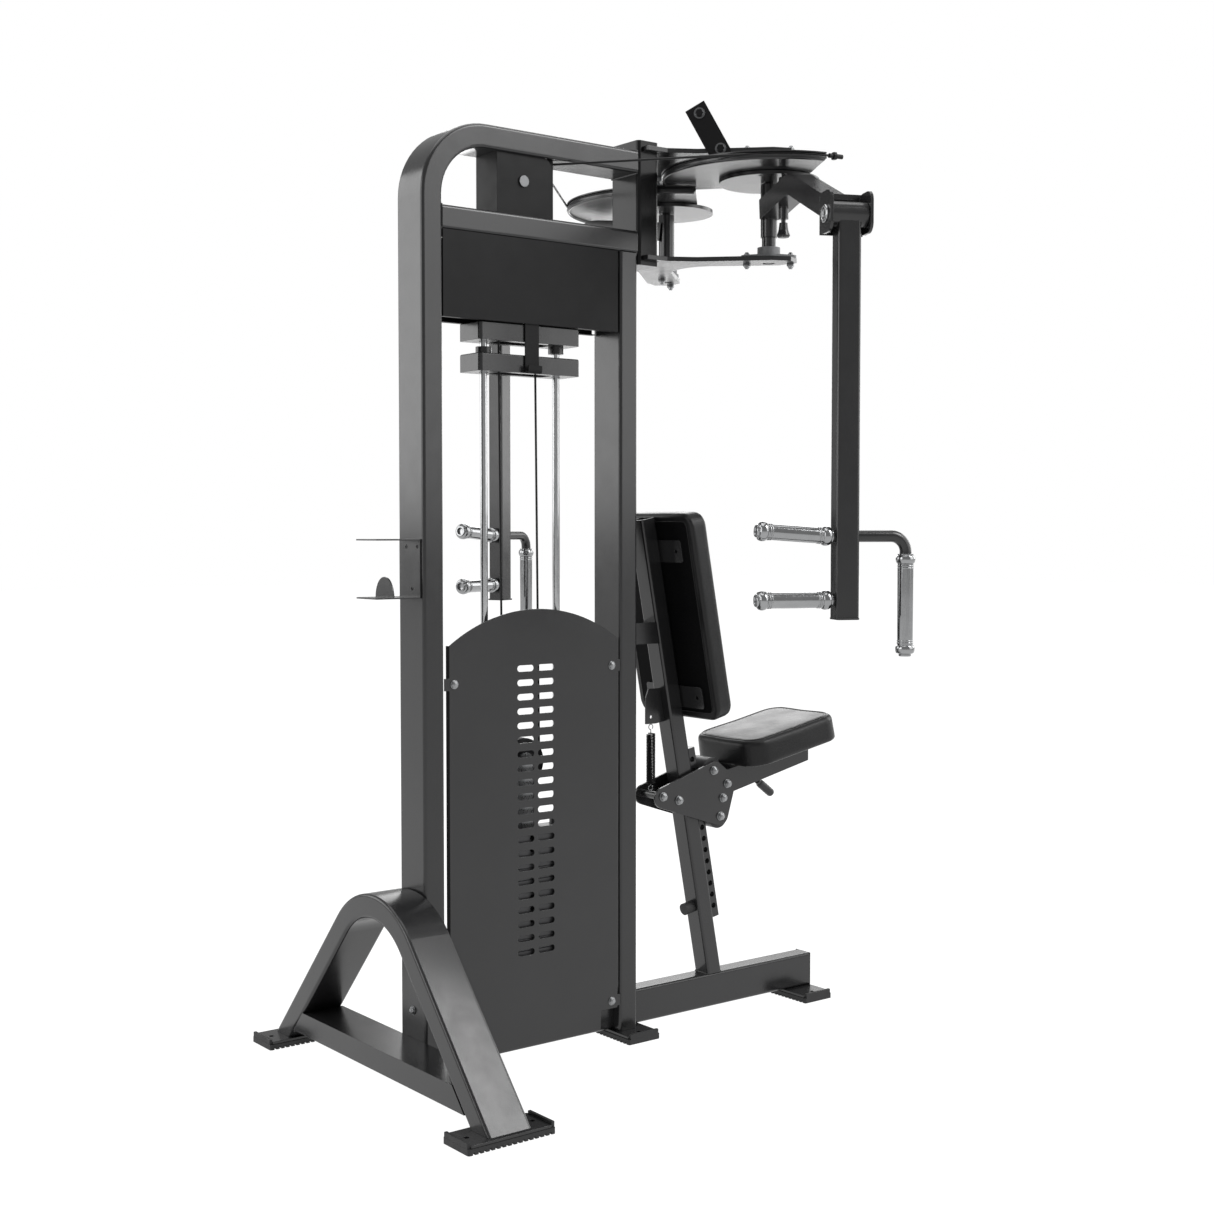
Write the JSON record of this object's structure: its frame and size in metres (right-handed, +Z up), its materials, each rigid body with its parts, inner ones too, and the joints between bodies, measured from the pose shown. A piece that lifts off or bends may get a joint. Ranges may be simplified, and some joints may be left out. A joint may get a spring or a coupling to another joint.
{
  "type": "pec deck machine",
  "caption": "Selectorised pec fly and rear delt machine: seat, back pad, overhead cams with hanging arms, and a weight stack in a bent tube frame.",
  "frame": {"origin": "centre of the footprint on the floor", "axes": "+Z up; the user sits facing -Y with the weight stack behind at +Y; +X is the user's left"},
  "size_m": [1.3934, 1.3173, 2.127],
  "materials": {
    "frame_paint": "semi-gloss charcoal powder coat",
    "panel_paint": "satin black powder coat",
    "plate_paint": "satin black paint on steel",
    "chrome": "polished",
    "zinc": "zinc plated",
    "bearing_grey": "painted casting",
    "cable": "black coated wire rope",
    "sheave_plastic": "moulded nylon",
    "black_plastic": "moulded",
    "foot_rubber": "matt ribbed rubber",
    "vinyl": "grained upholstery vinyl",
    "spring_steel": "blackened spring wire",
    "knob_plastic": "moulded knob"
  },
  "bodies": {
    "frame": {"rear_arch_tube": "frame_paint", "front_post": "frame_paint", "crossbar": "frame_paint", "base_tubes": "frame_paint", "a_frame_tube": "frame_paint", "a_frame_brace": "frame_paint", "foot_plates": "frame_paint", "rubber_feet": "foot_rubber", "top_panel": "panel_paint", "weight_shroud": "frame_paint", "accessory_shelf": "frame_paint", "guide_rods": "chrome", "rubber_stops": "foot_rubber", "lower_weight_plates": "plate_paint", "pulley_bracket": "panel_paint", "pulley_axles": "zinc", "cam_cables": "cable", "lift_cables": "cable", "carrier_tube": "frame_paint", "carrier_plates": "frame_paint", "flange_bearings": "bearing_grey", "stop_bar": "frame_paint", "seat_post": "frame_paint", "seat_post_brackets": "frame_paint", "back_pad": "vinyl", "tension_spring": "spring_steel", "frame_bolts": "zinc"},
    "stack": {"lifted_weight_plates": "plate_paint", "stack_head_plate": "plate_paint", "selector_rod": "zinc"},
    "lifting_pulley": {"lifting_pulley": "sheave_plastic"},
    "selector_pin": {"selector_pin": "zinc"},
    "right_sheave": {"right_sheave": "sheave_plastic"},
    "left_sheave": {"left_sheave": "sheave_plastic"},
    "idler_pulley": {"idler_pulley": "sheave_plastic"},
    "upper_add_on_weight": {"upper_add_on_weight": "frame_paint"},
    "lower_add_on_weight": {"lower_add_on_weight": "frame_paint"},
    "seat_carriage": {"seat_carriage": "frame_paint", "seat_pad": "vinyl", "carriage_bolts": "zinc"},
    "seat_lever": {"seat_lever": "frame_paint"},
    "rear_roller": {"rear_roller": "black_plastic"},
    "upper_roller": {"upper_roller": "black_plastic"},
    "lower_roller": {"lower_roller": "black_plastic"},
    "right_cam": {"right_cam": "frame_paint", "right_selector_plate": "frame_paint", "right_cable_end": "cable"},
    "right_arm": {"right_arm": "frame_paint", "right_hinge_pin": "chrome"},
    "right_pull_pin": {"right_pull_pin": "knob_plastic"},
    "right_forearm": {"right_forearm": "frame_paint", "right_grips": "chrome"},
    "left_cam": {"left_cam": "frame_paint", "left_selector_plate": "frame_paint", "left_cable_end": "cable"},
    "left_arm": {"left_arm": "frame_paint", "left_hinge_pin": "chrome"},
    "left_pull_pin": {"left_pull_pin": "knob_plastic"},
    "left_forearm": {"left_forearm": "frame_paint", "left_grips": "chrome"}
  },
  "joints": [
    {"name": "stack_lift", "type": "slide", "parent": "frame", "child": "stack", "axis": [0, 0, 1], "range_m": [0, 0.398], "deforming": ["lift_cables"]},
    {"name": "right_cam_swing", "type": "hinge", "parent": "frame", "child": "right_cam", "pos_m": [-0.183, -0.349, 1.95], "axis": [0, 0, 1], "range_deg": [0, 95]},
    {"name": "right_arm_adjust", "type": "hinge", "parent": "right_cam", "child": "right_arm", "pos_m": [-0.183, -0.349, 1.87], "axis": [0, 0, 1], "range_deg": [-30, 15]},
    {"name": "right_pin_lock", "type": "slide", "parent": "right_arm", "child": "right_pull_pin", "axis": [0, 0, 1], "range_m": [0, 0.0055]},
    {"name": "right_forearm_swing", "type": "hinge", "parent": "right_arm", "child": "right_forearm", "pos_m": [-0.62264, -0.15142, 1.792], "axis": [0.4099, 0.9121, 0], "range_deg": [-8, 40]},
    {"name": "left_cam_swing", "type": "hinge", "parent": "frame", "child": "left_cam", "pos_m": [0.183, -0.349, 1.95], "axis": [0, 0, -1], "range_deg": [0, 95]},
    {"name": "left_arm_adjust", "type": "hinge", "parent": "left_cam", "child": "left_arm", "pos_m": [0.183, -0.349, 1.87], "axis": [0, 0, -1], "range_deg": [-30, 15]},
    {"name": "left_pin_lock", "type": "slide", "parent": "left_arm", "child": "left_pull_pin", "axis": [0, 0, 1], "range_m": [0, 0.0055]},
    {"name": "left_forearm_swing", "type": "hinge", "parent": "left_arm", "child": "left_forearm", "pos_m": [0.62264, -0.15142, 1.792], "axis": [0.4099, -0.9121, 0], "range_deg": [-8, 40]},
    {"name": "right_sheave_spin", "type": "hinge", "parent": "frame", "child": "right_sheave", "pos_m": [-0.014, 0.234, 1.904], "axis": [1, 0, 0], "range_deg": [0, 455]},
    {"name": "left_sheave_spin", "type": "hinge", "parent": "frame", "child": "left_sheave", "pos_m": [0.014, 0.234, 1.904], "axis": [1, 0, 0], "range_deg": [0, 455]},
    {"name": "idler_spin", "type": "hinge", "parent": "frame", "child": "idler_pulley", "pos_m": [0.014, 0.19, 1.69], "axis": [1, 0, 0], "range_deg": [-1020, 0]},
    {"name": "lifting_pulley_spin", "type": "hinge", "parent": "stack", "child": "lifting_pulley", "pos_m": [0, 0.2155, 0.65], "axis": [1, 0, 0], "continuous": true},
    {"name": "selector_pin_pull", "type": "slide", "parent": "stack", "child": "selector_pin", "axis": [1, 0, 0], "range_m": [0, 0.095]},
    {"name": "lower_add_on_drop", "type": "slide", "parent": "frame", "child": "lower_add_on_weight", "axis": [0, 0, -1], "range_m": [0, 0.968]},
    {"name": "upper_add_on_drop", "type": "slide", "parent": "frame", "child": "upper_add_on_weight", "axis": [0, 0, -1], "range_m": [0, 0.968]},
    {"name": "seat_slide", "type": "slide", "parent": "frame", "child": "seat_carriage", "axis": [0, 0.1874, 0.9823], "range_m": [-0.2, 0.05], "deforming": ["tension_spring"]},
    {"name": "seat_lever_pull", "type": "hinge", "parent": "seat_carriage", "child": "seat_lever", "pos_m": [0, -0.447, 0.566], "axis": [-1, 0, 0], "range_deg": [0, 18], "stiffness_Nm_per_rad": 3, "springref_deg": -8.59},
    {"name": "rear_roller_spin", "type": "hinge", "parent": "seat_carriage", "child": "rear_roller", "pos_m": [0, -0.20604, 0.528], "axis": [1, 0, 0], "range_deg": [-550, 140]},
    {"name": "upper_roller_spin", "type": "hinge", "parent": "seat_carriage", "child": "upper_roller", "pos_m": [0, -0.31402, 0.589], "axis": [1, 0, 0], "range_deg": [-96, 385]},
    {"name": "lower_roller_spin", "type": "hinge", "parent": "seat_carriage", "child": "lower_roller", "pos_m": [0, -0.3352, 0.478], "axis": [1, 0, 0], "range_deg": [-96, 385]}
  ],
  "couplings": [
    {"joint": "right_cam_swing", "follows": "stack_lift", "rad_per_m": 4.158},
    {"joint": "left_cam_swing", "follows": "stack_lift", "rad_per_m": 4.158},
    {"joint": "right_sheave_spin", "follows": "stack_lift", "rad_per_m": 19.8},
    {"joint": "left_sheave_spin", "follows": "stack_lift", "rad_per_m": 19.8},
    {"joint": "idler_spin", "follows": "stack_lift", "rad_per_m": -44.4},
    {"joint": "upper_add_on_drop", "follows": "lower_add_on_drop", "ratio": 1},
    {"joint": "rear_roller_spin", "follows": "seat_slide", "rad_per_m": 47.6},
    {"joint": "upper_roller_spin", "follows": "seat_slide", "rad_per_m": -33.3},
    {"joint": "lower_roller_spin", "follows": "seat_slide", "rad_per_m": -33.3}
  ]
}
